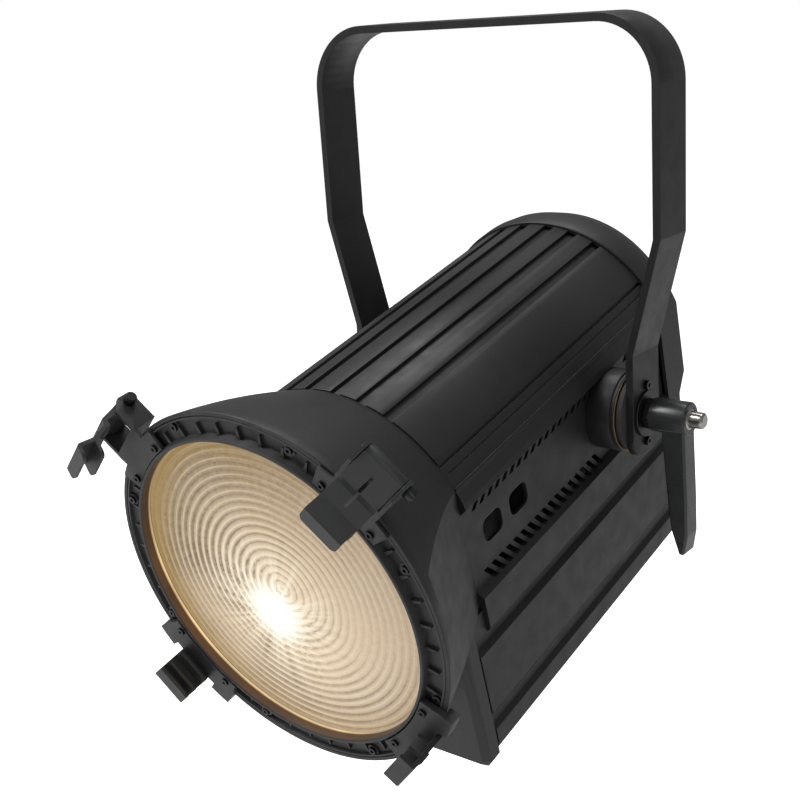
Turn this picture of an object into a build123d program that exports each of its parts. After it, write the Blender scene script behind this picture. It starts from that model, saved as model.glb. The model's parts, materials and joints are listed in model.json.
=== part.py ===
from build123d import *
import os
from math import cos, radians, sin

os.makedirs("parts", exist_ok=True)

# ----------------------------------------------------------------------------
# Driving dimensions, millimetres.
# The origin is the centre of the mounting bore in the top face of the yoke bar.
# +X is the clamp lever's side, the lamp shines towards -Y, +Z is up.
# "s" is a station along the beam, measured forwards from the tilt axis.
# "back" is the same distance measured rearwards.
# ----------------------------------------------------------------------------
TILT_DEG = 13.0          # the lamp head looks this far below the horizontal

YOKE_RISE = 285.0        # top face of the yoke bar above the tilt axis
YOKE_HALF = 150.0        # outer half width between the upper legs
YOKE_FOOT_HALF = 127.7   # outer half width at the tilt axis
BAR_T = 6.0              # flat bar thickness
BAR_W = 40.0             # flat bar width
YOKE_CORNER_R = 48.0     # outer radius of the two top corners
TAPER_TOP = 132.6        # the legs bend inwards here, above the tilt axis
TAPER_FOOT = 47.4        # and run straight down again from here
LEG_END = -31.0          # lower end of each leg
LEG_END_R = 14.0
MOUNT_BORE_R = 6.5

BODY_R = 105.5           # outer radius of the top shell
BODY_FRONT = 192.0       # station where the body meets the hood
BODY_REAR = -89.0        # station where the body meets the rear cap
SIDE_X = 99.5            # flat sides of the body
PANEL_X = 93.5           # recessed centre of each side panel
WALL = 3.0
HOUSING_TOP = -67.5
HOUSING_BOTTOM = -158.0

RING_FACE = 279.3        # front face of the bezel ring and of the hood's rim
RING_BACK = 266.0
RING_R = 132.7           # outer radius of the ring's face
RING_BACK_R = 122.0      # the ring's spigot, inside the hood's flats
FLANGE_BACK = 273.6
LENS_SEAT = 274.0
APERTURE_R = 116.0       # clear opening in front of the lens
LIP_FACE = 283.0
HOOD_RIM_R = 136.0
HOOD_REAR_R = 104.5
HOOD_MID = (236.0, 123.2)  # station and radius halfway along the bell
LENS_R = 119.3
LENS_FACE = 273.2
LENS_T = 4.8

COVER_BACK = 210.0       # lower front cover
COVER_FACE = 225.0
COVER_BOTTOM = -166.0

HOLDER_ANGLE = 40.0      # fixed accessory holders, below the horizontal
LATCH_ANGLE = 45.0       # spring latches, above the horizontal
PIN_R = 2.5
LATCH_PIN_S = 269.0
LATCH_PIN_RAD = 158.0

DISC_SCREW_SPOTS = [(0, 21.5), (0, -21.5)]
BOSS_R = 30.5
BOSS_FACE = 116.4
BRASS_FACE = 117.2
DISC_BACK = 117.5
LEG_INNER = YOKE_FOOT_HALF - BAR_T
STUD_R = 6.0
FIT = 0.06               # running clearance on radius
HUB_BACK = 134.0
HUB_FACE = 163.0
HUB_R = 12.5
LEVER_DROP = 104.0
BUTTON_FACE = 174.0

ROD_X = 66.0             # guide rods of the focus carriage
ROD_UP = -52.0
ROD_R = 4.0
CARRIAGE_S = 84.0        # rest station of the carriage plate's back face

# ----------------------------------------------------------------------------
# Working planes
# ----------------------------------------------------------------------------
PIVOT = Vector(0, 0, -YOKE_RISE)
RIGHT = Vector(1, 0, 0)
FORWARD = Vector(0, -cos(radians(TILT_DEG)), -sin(radians(TILT_DEG)))
UP = Vector(0, -sin(radians(TILT_DEG)), cos(radians(TILT_DEG)))
BEAM_AXIS = Axis(PIVOT, FORWARD)

BEAM = Plane(origin=PIVOT, x_dir=RIGHT, z_dir=FORWARD)        # (x, up)
REAR = Plane(origin=PIVOT, x_dir=-RIGHT, z_dir=-FORWARD)      # (-x, up)
MERIDIAN = Plane(origin=PIVOT, x_dir=FORWARD, z_dir=-RIGHT)   # (s, up)
PROFILE = Plane(origin=PIVOT, x_dir=-FORWARD, z_dir=RIGHT)    # (back, up)
PLAN = Plane(origin=PIVOT, x_dir=RIGHT, z_dir=-UP)            # (x, s)
YOKE_SIDE = Plane(origin=PIVOT, x_dir=(0, 1, 0), z_dir=RIGHT)  # (y, up)
YOKE_FRONT = Plane(origin=PIVOT, x_dir=RIGHT, z_dir=(0, -1, 0))  # (x, up)


def radial_plane(angle, w=0.0):
    """Plane through the beam axis, local (s, radius), w is tangential."""
    tangent = RIGHT * -sin(radians(angle)) + UP * cos(radians(angle))
    return Plane(origin=PIVOT, x_dir=FORWARD, z_dir=tangent).offset(w)


def polar(radius, angle):
    return (radius * cos(radians(angle)), radius * sin(radians(angle)))


def annular_sector(r_in, r_out, middle, half):
    """A face between two concentric arcs, added to the current sketch."""
    with BuildSketch(Plane.XY) as sector:
        with BuildLine():
            outer = ThreePointArc(
                polar(r_out, middle - half), polar(r_out, middle), polar(r_out, middle + half)
            )
            inner = ThreePointArc(
                polar(r_in, middle - half), polar(r_in, middle), polar(r_in, middle + half)
            )
            Line(outer @ 0, inner @ 0)
            Line(outer @ 1, inner @ 1)
        make_face()
    add(sector.sketch)


def outline(*points):
    """A closed straight-sided face in the current sketch."""
    Polygon(*points, align=None)


def save(builder, label):
    builder.part.label = label
    export_step(builder.part, f"parts/{label}.step")


def cap_screw(plane, spots, head_r, head_h, shank_r, shank_l, socket):
    """Socket head screws whose heads stand on the given plane."""
    with BuildPart() as screws:
        with BuildSketch(plane):
            with Locations(*spots):
                Circle(head_r)
        extrude(amount=head_h)
        chamfer(screws.faces().sort_by(Axis(plane.origin, plane.z_dir))[-1].edges(), 0.3)
        with BuildSketch(plane.offset(head_h)):
            with Locations(*spots):
                RegularPolygon(socket, 6)
        extrude(amount=-head_h * 0.6, mode=Mode.SUBTRACT)
        with BuildSketch(plane):
            with Locations(*spots):
                Circle(shank_r)
        extrude(amount=-shank_l)
    return screws


# ----------------------------------------------------------------------------
# Yoke: one bent flat bar
# ----------------------------------------------------------------------------
with BuildPart() as yoke:
    with BuildSketch(YOKE_FRONT.offset(-BAR_W / 2)):
        for half, foot, rise, corner in (
            (YOKE_HALF, YOKE_FOOT_HALF, YOKE_RISE, YOKE_CORNER_R),
            (YOKE_HALF - BAR_T, LEG_INNER, YOKE_RISE - BAR_T, YOKE_CORNER_R - BAR_T),
        ):
            mode = Mode.ADD if half == YOKE_HALF else Mode.SUBTRACT
            with BuildSketch(Plane.XY, mode=Mode.PRIVATE) as band:
                outline(
                    (-foot, LEG_END), (-foot, TAPER_FOOT), (-half, TAPER_TOP), (-half, rise),
                    (half, rise), (half, TAPER_TOP), (foot, TAPER_FOOT), (foot, LEG_END),
                )
                fillet(band.vertices().group_by(Axis.Y)[-1], corner)
            add(band.sketch, mode=mode)
    extrude(amount=BAR_W)
    fillet(
        yoke.edges().filter_by(Axis.X).group_by(Axis.Z)[0],
        LEG_END_R,
    )
    with BuildSketch(Plane.XY):
        Circle(MOUNT_BORE_R)
    extrude(amount=-BAR_T, mode=Mode.SUBTRACT)
    with BuildSketch(YOKE_SIDE.offset(-YOKE_HALF)):
        Circle(STUD_R + FIT)
        with Locations(*DISC_SCREW_SPOTS):
            Circle(2)
    extrude(amount=2 * YOKE_HALF, mode=Mode.SUBTRACT)
save(yoke, "yoke")

with BuildPart() as friction_discs:
    for side in (1, -1):
        with BuildSketch(YOKE_SIDE.offset(side * DISC_BACK)):
            Circle(28.5)
            Circle(STUD_R + 0.5, mode=Mode.SUBTRACT)
            with Locations(*DISC_SCREW_SPOTS):
                Circle(2, mode=Mode.SUBTRACT)
        extrude(amount=side * (LEG_INNER - DISC_BACK))
save(friction_discs, "friction_discs")

with BuildPart() as yoke_washers:
    for side in (1, -1):
        with BuildSketch(YOKE_SIDE.offset(side * YOKE_FOOT_HALF)):
            Circle(17.5)
            Circle(STUD_R + 0.5, mode=Mode.SUBTRACT)
        extrude(amount=side * 1.8)
save(yoke_washers, "yoke_washers")

with BuildPart() as yoke_screws:
    for side in (1, -1):
        leg_face = Plane(
            origin=PIVOT + RIGHT * side * YOKE_FOOT_HALF, x_dir=(0, 1, 0), z_dir=RIGHT * side
        )
        add(cap_screw(leg_face, DISC_SCREW_SPOTS, 3.4, 2.6, 1.9, BAR_T + 1, 1.7).part)
save(yoke_screws, "yoke_screws")

# ----------------------------------------------------------------------------
# Clamp lever with its hexagon nut and release button
# ----------------------------------------------------------------------------
with BuildPart() as lever_nut:
    with BuildSketch(YOKE_SIDE.offset(YOKE_FOOT_HALF + 2.1)):
        RegularPolygon(11.6, 6)
        Circle(STUD_R + FIT, mode=Mode.SUBTRACT)
    extrude(amount=HUB_BACK - YOKE_FOOT_HALF - 2.1)
save(lever_nut, "lever_nut")

with BuildPart() as lever_arm:
    with BuildSketch(YOKE_FRONT.offset(-9)) as arm_side:
        outline(
            (HUB_BACK + 9, 2), (HUB_BACK + 10, -14), (149.2, -72), (151.4, -86),
            (157.4, -LEVER_DROP), (161.4, -LEVER_DROP), (164.0, -88), (163.6, -60),
            (HUB_FACE - 1, -18), (HUB_FACE - 1.5, 2),
        )
        fillet(arm_side.vertices().group_by(Axis.Y)[0], 1.9)
    extrude(amount=18)
    fillet(
        lever_arm.faces().filter_by(Axis.Y).edges().filter_by(Axis.X, reverse=True),
        1.8,
    )

with BuildPart() as clamp_lever:
    with BuildSketch(YOKE_SIDE.offset(HUB_BACK)):
        Circle(HUB_R)
    extrude(amount=HUB_FACE - HUB_BACK)
    chamfer(clamp_lever.edges().filter_by(GeomType.CIRCLE), 1.0)
    add(lever_arm.part)
    with BuildSketch(YOKE_SIDE.offset(HUB_BACK)):
        Circle(STUD_R + FIT)
    extrude(amount=14, mode=Mode.SUBTRACT)
    with BuildSketch(YOKE_SIDE.offset(HUB_BACK)):
        Circle(4.1)
    extrude(amount=HUB_FACE - HUB_BACK, mode=Mode.SUBTRACT)
    with BuildSketch(YOKE_SIDE.offset(HUB_FACE)):
        Circle(8.3)
    extrude(amount=-5, mode=Mode.SUBTRACT)
save(clamp_lever, "clamp_lever")

with BuildPart() as release_button:
    with BuildSketch(YOKE_FRONT):
        with BuildLine():
            Polyline(
                (151, 0), (151, 4.04), (161.2, 4.04), (161.2, 8), (162.8, 8), (163.4, 6.4),
                (172.6, 6.0), (BUTTON_FACE, 4.4), (BUTTON_FACE, 0), (151, 0),
            )
        make_face()
    revolve(axis=Axis(PIVOT, RIGHT))
save(release_button, "release_button")

# ----------------------------------------------------------------------------
# Top shell: half-round extrusion with long grooves
# ----------------------------------------------------------------------------
BODY_LENGTH = BODY_FRONT - BODY_REAR
SHELL_HALF = 53.8        # half angle of the shell's outer skin
SHELL_LEDGE_HALF = 55.0  # half angle of the ledge below it
LEDGE_R = BODY_R - 2.6
GROOVE_FLOOR = BODY_R - 3.2

with BuildPart() as top_shell:
    with BuildSketch(BEAM.offset(BODY_REAR)):
        annular_sector(BODY_R - 5, BODY_R, 90, SHELL_HALF)
        annular_sector(BODY_R - 5, LEDGE_R, 90, SHELL_LEDGE_HALF)
    extrude(amount=BODY_LENGTH)
    with BuildSketch(BEAM.offset(BODY_REAR)):
        for start, end in ((4.0, 8.5), (15.5, 20.0), (27.5, 31.5)):
            for sign in (1, -1):
                annular_sector(
                    GROOVE_FLOOR, BODY_R + 1, 90 + sign * (start + end) / 2, (end - start) / 2
                )
    extrude(amount=BODY_LENGTH, mode=Mode.SUBTRACT)
save(top_shell, "top_shell")

# ----------------------------------------------------------------------------
# Side panels: rails above and below a recessed centre, with vent slots
# ----------------------------------------------------------------------------
VENT_PITCH = 9.4
VENT_COUNT = 17
VENT_REAR_COUNT = 4
VENT_LEAN = 8.7          # the slots run this far rearwards from their inner to their outer end
VENT_STATIONS = [177 - VENT_PITCH * n for n in range(VENT_COUNT)]
VENT_STATIONS += [-36 - VENT_PITCH * n for n in range(VENT_REAR_COUNT)]
VENT_ENDS = [(20.0, 29.0), (-27.0, -37.5)]  # inner and outer end of each row
VENT_HALF = 2.5
PORT_STATIONS = (127, 160)
RAIL_R = 104.5
RAIL_FOOT = -64.0

for side, name in ((1, "right"), (-1, "left")):
    arc_top = 90 - side * (SHELL_LEDGE_HALF + 0.02)
    arc_end = 90 - side * 70.5
    arc_mid = (arc_top + arc_end) / 2
    with BuildPart() as side_panel:
        with BuildSketch(BEAM.offset(BODY_REAR)):
            with BuildLine():
                ThreePointArc(
                    polar(RAIL_R, arc_top), polar(RAIL_R, arc_mid), polar(RAIL_R, arc_end)
                )
                Polyline(
                    polar(RAIL_R, arc_end), (side * SIDE_X, 30.5), (side * PANEL_X, 24.5),
                    (side * PANEL_X, -36), (side * SIDE_X, -40), (side * SIDE_X, RAIL_FOOT),
                    (side * (SIDE_X - 2.6), HOUSING_TOP),
                    (side * (SIDE_X - WALL - 2.6), HOUSING_TOP),
                    (side * (SIDE_X - WALL), RAIL_FOOT - 1), (side * (SIDE_X - WALL), -42.2),
                    (side * (PANEL_X - WALL), -38.2), (side * (PANEL_X - WALL), 25.7),
                    (side * (SIDE_X - WALL - 0.7), 31), polar(RAIL_R - WALL, arc_end),
                )
                ThreePointArc(
                    polar(RAIL_R - WALL, arc_end), polar(RAIL_R - WALL, arc_mid),
                    polar(RAIL_R - WALL, arc_top),
                )
                Line(polar(RAIL_R - WALL, arc_top), polar(RAIL_R, arc_top))
            make_face()
            annular_sector(RAIL_R - 1, RAIL_R + 0.9, 90 - side * 64.5, 0.6)
        extrude(amount=BODY_LENGTH)
        with BuildSketch(BEAM.offset(BODY_REAR)):
            annular_sector(RAIL_R - 1, RAIL_R + 1, 90 - side * 58.5, 0.28)
        extrude(amount=BODY_LENGTH, mode=Mode.SUBTRACT)
        with BuildSketch(PROFILE.offset(side * (PANEL_X - 8))):
            for station in VENT_STATIONS:
                for inner, outer in VENT_ENDS:
                    outline(
                        (-station - VENT_HALF, inner), (-station + VENT_HALF, inner),
                        (-station + VENT_LEAN + VENT_HALF, outer),
                        (-station + VENT_LEAN - VENT_HALF, outer),
                    )
            with Locations(*[(-station, -2.2) for station in PORT_STATIONS]):
                RectangleRounded(22.5, 17.5, 5.5)
        extrude(amount=side * 20, mode=Mode.SUBTRACT)
        with BuildSketch(BEAM.offset(BODY_FRONT - 4)):
            crown = [polar(RAIL_R - 0.2, 90 - side * (55.2 + 3 * n)) for n in range(6)]
            outline(
                *crown, (side * (SIDE_X - 0.2), 30.3), (side * (PANEL_X - 0.2), 24.3),
                (side * (PANEL_X - 0.2), -36.2), (side * (SIDE_X - 0.2), -40.2),
                (side * (SIDE_X - 0.2), RAIL_FOOT), (side * (SIDE_X - 2.6), HOUSING_TOP),
                (side * 84, HOUSING_TOP), (side * 84, 40), (side * 78, 50),
            )
        extrude(amount=4)
        with BuildSketch(PROFILE.offset(side * PANEL_X)):
            Circle(BOSS_R + 0.3)
        extrude(amount=side * 10, mode=Mode.SUBTRACT)
        with BuildSketch(PROFILE.offset(side * (PANEL_X - 8))):
            Circle(STUD_R + 0.1)
        extrude(amount=side * 10, mode=Mode.SUBTRACT)
    save(side_panel, f"side_panel_{name}")

# ----------------------------------------------------------------------------
# Tilt bosses, brass washers and pivot studs
# ----------------------------------------------------------------------------
with BuildPart() as tilt_bosses:
    for side in (1, -1):
        with BuildSketch(PROFILE.offset(side * PANEL_X)):
            Circle(BOSS_R)
        extrude(amount=side * (BOSS_FACE - PANEL_X))
        with BuildSketch(PROFILE.offset(side * (BOSS_FACE - 3.4))):
            Circle(BOSS_R + 1)
            Circle(BOSS_R - 1.2, mode=Mode.SUBTRACT)
        extrude(amount=side * 1.2, mode=Mode.SUBTRACT)
        with BuildSketch(PROFILE.offset(side * PANEL_X)):
            Circle(STUD_R + 0.1)
        extrude(amount=side * (BOSS_FACE - PANEL_X), mode=Mode.SUBTRACT)
save(tilt_bosses, "tilt_bosses")

with BuildPart() as brass_washers:
    for side in (1, -1):
        with BuildSketch(PROFILE.offset(side * BOSS_FACE)):
            Circle(BOSS_R - 0.3)
            Circle(STUD_R + 0.4, mode=Mode.SUBTRACT)
        extrude(amount=side * (BRASS_FACE - BOSS_FACE))
save(brass_washers, "brass_washers")

with BuildPart() as pivot_stud:
    with BuildSketch(PROFILE.offset(PANEL_X - WALL)):
        RegularPolygon(11, 6)
    extrude(amount=-6)
    with BuildSketch(PROFILE.offset(PANEL_X - WALL)):
        Circle(STUD_R)
    extrude(amount=HUB_BACK + 13 - PANEL_X + WALL)
save(pivot_stud, "pivot_stud")

with BuildPart() as pivot_bolt:
    with BuildSketch(PROFILE.offset(-(PANEL_X - WALL))):
        RegularPolygon(11, 6)
    extrude(amount=6)
    with BuildSketch(PROFILE.offset(-(PANEL_X - WALL))):
        Circle(STUD_R)
    extrude(amount=-(YOKE_FOOT_HALF + 2.1 - PANEL_X + WALL))
    with BuildSketch(PROFILE.offset(-(YOKE_FOOT_HALF + 2.1))):
        Circle(14)
    extrude(amount=-7)
    chamfer(pivot_bolt.edges().sort_by(Axis.X)[0], 2)
    with BuildSketch(PROFILE.offset(-(YOKE_FOOT_HALF + 9.1))):
        RegularPolygon(5, 6)
    extrude(amount=4, mode=Mode.SUBTRACT)
save(pivot_bolt, "pivot_bolt")

# ----------------------------------------------------------------------------
# Lower housing: tray under the side panels
# ----------------------------------------------------------------------------
with BuildPart() as lower_housing:
    with BuildSketch(BEAM.offset(BODY_REAR)):
        outer_half = [
            (94.5, HOUSING_TOP), (94.5, -75.5), (99, -78.5), (99, -126), (95.5, -131.5),
            (95.5, -138), (99, -141), (99, -155), (97, HOUSING_BOTTOM),
        ]
        inner_half = [
            (91.5, HOUSING_BOTTOM + WALL), (92.5, -136), (92.5, -130.5), (96, -125), (96, -80),
            (91.5, -77), (91.5, HOUSING_TOP),
        ]
        outline(*outer_half, *[(-x, z) for x, z in reversed(outer_half)],
                *[(-x, z) for x, z in reversed(inner_half)], *inner_half)
    extrude(amount=COVER_BACK - 2 - BODY_REAR)
    with BuildSketch(BEAM.offset(BODY_REAR)):
        with Locations((0, HOUSING_BOTTOM)):
            with GridLocations(30, 0, 5, 1):
                Rectangle(4, 2.4)
    extrude(amount=COVER_BACK - 2 - BODY_REAR, mode=Mode.SUBTRACT)
save(lower_housing, "lower_housing")

# ----------------------------------------------------------------------------
# Hood: bell between the body and the bezel, flattened on its two sides
# ----------------------------------------------------------------------------
FACET_REAR_X = 94.3
FACET_FRONT_X = 127.0
FACET_FRONT = 270.4
RAMP_OUT = 7.2           # in front of the flats the wall runs out to the round rim
RAMP_LENGTH = 2.6


def bell(inset):
    """Filled bell, smaller by the inset, with its two side flats."""
    with BuildPart() as solid:
        with BuildSketch(MERIDIAN):
            with BuildLine():
                ThreePointArc(
                    (BODY_FRONT, HOOD_REAR_R - inset), (HOOD_MID[0], HOOD_MID[1] - inset),
                    (RING_FACE, HOOD_RIM_R - inset),
                )
                Polyline(
                    (RING_FACE, HOOD_RIM_R - inset), (RING_FACE, 0), (BODY_FRONT, 0),
                    (BODY_FRONT, HOOD_REAR_R - inset),
                )
            make_face()
        revolve(axis=BEAM_AXIS)
        for side in (1, -1):
            with BuildSketch(PLAN.offset(-160)):
                outline(
                    (side * (FACET_REAR_X - inset), BODY_FRONT),
                    (side * (FACET_FRONT_X - inset), FACET_FRONT),
                    (side * (FACET_FRONT_X + RAMP_OUT - inset), FACET_FRONT + RAMP_LENGTH),
                    (side * 180, FACET_FRONT + RAMP_LENGTH), (side * 180, BODY_FRONT),
                )
            extrude(amount=320, mode=Mode.SUBTRACT)
    return solid


bell_outer = bell(0)
bell_inner = bell(WALL)

with BuildPart() as hood:
    add(bell_outer.part)
    chamfer(hood.edges().filter_by(GeomType.CIRCLE).sort_by(Axis(PIVOT, FORWARD))[-1:], 0.6)
    add(bell_inner.part, mode=Mode.SUBTRACT)
save(hood, "hood")

# ----------------------------------------------------------------------------
# Lower front cover, seated under the hood and in the mouth of the tray
# ----------------------------------------------------------------------------
with BuildPart() as front_cover:
    with BuildSketch(BEAM.offset(COVER_BACK)):
        outline(
            (-99.5, -45), (-99.5, -160), (-95, COVER_BOTTOM), (95, COVER_BOTTOM),
            (99.5, -160), (99.5, -45),
        )
    extrude(amount=COVER_FACE - COVER_BACK)
    chamfer(front_cover.faces().sort_by(Axis(PIVOT, FORWARD))[-1].edges(), 5)
    with BuildSketch(BEAM.offset(BODY_FRONT)):
        outline((-95.9, -50), (-95.9, -67.3), (95.9, -67.3), (95.9, -50))
        outline((-91.2, -67.3), (-91.2, -154.6), (91.2, -154.6), (91.2, -67.3))
    extrude(amount=COVER_BACK - BODY_FRONT)
    with BuildSketch(BEAM.offset(BODY_FRONT)):
        outline((-88, -20), (-88, -151), (88, -151), (88, -20))
    extrude(amount=COVER_FACE - WALL - 1 - BODY_FRONT, mode=Mode.SUBTRACT)
    add(bell_outer.part, mode=Mode.SUBTRACT)
save(front_cover, "front_cover")

# ----------------------------------------------------------------------------
# Bezel ring with its ribs and screw bosses
# ----------------------------------------------------------------------------
TROUGH_FLOOR = RING_FACE - 2.6
RIB_COUNT = 44
BEZEL_SCREW_R = 127.7
BEZEL_SCREW_START = 22.5

with BuildPart() as bezel_ring:
    with BuildSketch(MERIDIAN):
        outline(
            (RING_BACK, RING_BACK_R), (FLANGE_BACK - 1, RING_BACK_R),
            (FLANGE_BACK, RING_R - 1.4), (RING_FACE - 0.6, RING_R - 0.1), (RING_FACE, RING_R - 0.7),
            (RING_FACE, 130.9), (TROUGH_FLOOR, 130.3), (TROUGH_FLOOR, 119.6),
            (LIP_FACE - 0.5, 118.6), (LIP_FACE, 118), (LIP_FACE, APERTURE_R + 0.6),
            (LIP_FACE - 0.6, APERTURE_R), (LENS_SEAT, APERTURE_R),
            (LENS_SEAT, LENS_R + 0.1), (RING_BACK, LENS_R + 0.1),
        )
    revolve(axis=BEAM_AXIS)
    with BuildSketch(BEAM.offset(TROUGH_FLOOR)):
        with PolarLocations(0, RIB_COUNT, start_angle=180 / RIB_COUNT):
            outline((119.3, -1.5), (119.3, 1.5), (127.4, 0.5), (127.4, -0.5))
    extrude(amount=2.3)
    with BuildSketch(BEAM.offset(TROUGH_FLOOR)):
        with PolarLocations(BEZEL_SCREW_R, 8, start_angle=BEZEL_SCREW_START):
            Circle(4.4)
    extrude(amount=1.6)
    with BuildSketch(BEAM.offset(RING_FACE)):
        with PolarLocations(BEZEL_SCREW_R, 8, start_angle=BEZEL_SCREW_START):
            Circle(1.75)
    extrude(amount=-10, mode=Mode.SUBTRACT)
save(bezel_ring, "bezel_ring")

BEZEL_SPOTS = [polar(BEZEL_SCREW_R, BEZEL_SCREW_START + 45 * n) for n in range(8)]
bezel_screws = cap_screw(BEAM.offset(TROUGH_FLOOR + 1.6), BEZEL_SPOTS, 2.9, 1.6, 1.7, 6, 1.3)
save(bezel_screws, "bezel_screws")

# ----------------------------------------------------------------------------
# Fresnel lens: stepped rings on the front, flat back
# ----------------------------------------------------------------------------
LENS_BACK = LENS_FACE - LENS_T
RING_PITCH = 9.5
STEP = 1.5

with BuildPart() as lens:
    with BuildSketch(MERIDIAN):
        profile = [(LENS_BACK, 0), (LENS_BACK, LENS_R), (LENS_FACE, LENS_R), (LENS_FACE, 115.0)]
        for n in range(11):
            outer_r = 115.0 - n * RING_PITCH
            profile.append((LENS_FACE - STEP, outer_r - 0.3))
            profile.append((LENS_FACE, outer_r - RING_PITCH))
        profile.append((LENS_FACE - 0.2, 5.0))
        profile.append((LENS_FACE, 0))
        outline(*profile)
    revolve(axis=BEAM_AXIS)
save(lens, "fresnel_lens")

with BuildPart() as lens_gasket:
    with BuildSketch(BEAM.offset(LENS_FACE)):
        Circle(LENS_R)
        Circle(APERTURE_R + 0.4, mode=Mode.SUBTRACT)
    extrude(amount=LENS_SEAT - LENS_FACE)
save(lens_gasket, "lens_gasket")

with BuildPart() as lens_retainer:
    with BuildSketch(BEAM.offset(RING_BACK)):
        Circle(LENS_R)
        Circle(113, mode=Mode.SUBTRACT)
        with PolarLocations(114.5, 6):
            Rectangle(7, 9, mode=Mode.SUBTRACT)
    extrude(amount=LENS_BACK - RING_BACK)
save(lens_retainer, "lens_retainer")

# ----------------------------------------------------------------------------
# Fixed accessory holders: three-ribbed channels on the lower half of the bezel
# ----------------------------------------------------------------------------
HOLDER_HALF_W = 14.0
HOLDER_TIP = 32.2        # front of the channel, ahead of the ring face
FOOT_T = 4.5
FOOT_R = 143.5
LUG_MIDDLE = 11.6        # degrees from the holder's middle
LUG_HALF = 3.3
LUG_DEPTH = 5.3          # the lugs reach this far behind the ring's face

for middle, name in ((-HOLDER_ANGLE, "right"), (180 + HOLDER_ANGLE, "left")):
    with BuildPart() as holder:
        with BuildSketch(BEAM.offset(RING_FACE)):
            annular_sector(119.2, 137, middle, 15.2)
            for sign in (1, -1):
                annular_sector(133, FOOT_R, middle + sign * LUG_MIDDLE, LUG_HALF)
        extrude(amount=FOOT_T)
        with BuildSketch(BEAM.offset(RING_FACE - LUG_DEPTH)):
            for sign in (1, -1):
                annular_sector(HOOD_RIM_R + 0.05, FOOT_R, middle + sign * LUG_MIDDLE, LUG_HALF)
        extrude(amount=LUG_DEPTH)
        with BuildSketch(radial_plane(middle, -HOLDER_HALF_W)):
            outline(
                (RING_FACE, 136.5), (RING_FACE, 139.8), (RING_FACE + HOLDER_TIP - 1, 139.8),
                (RING_FACE + HOLDER_TIP, 138.8), (RING_FACE + HOLDER_TIP, 127.5),
                (RING_FACE + 29.4, 127.5), (RING_FACE + 29.4, 137.2),
                (RING_FACE + 23.4, 137.2), (RING_FACE + 23.4, 128.5),
                (RING_FACE + 21.2, 128.5), (RING_FACE + 21.2, 137.2),
                (RING_FACE + 12.6, 137.2), (RING_FACE + 12.6, 127.5),
                (RING_FACE + 10.2, 127.5), (RING_FACE + 10.2, 136.5),
            )
        extrude(amount=2 * HOLDER_HALF_W)
        with BuildSketch(BEAM.offset(RING_FACE)):
            with Locations(polar(123, middle - 11.2), polar(123, middle + 11.2)):
                Circle(1.75)
        extrude(amount=FOOT_T, mode=Mode.SUBTRACT)
    save(holder, f"accessory_holder_{name}")

# ----------------------------------------------------------------------------
# Spring latches: bracket, hinge pin, torsion springs and latch arm
# ----------------------------------------------------------------------------
EAR_IN = 15.2
EAR_T = 2.6
LATCH_HALF_W = 14.6
EYE_R = 5.4
SPRING_HALF_W = 5.0
SPRING_R = 4.3
LEFT_LATCH_OPEN = 18.0   # the left latch stands partly open at rest
LIP_CORNER_R = 4.0
LATCH_ANGLES = (LATCH_ANGLE, 180 - LATCH_ANGLE)

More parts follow.
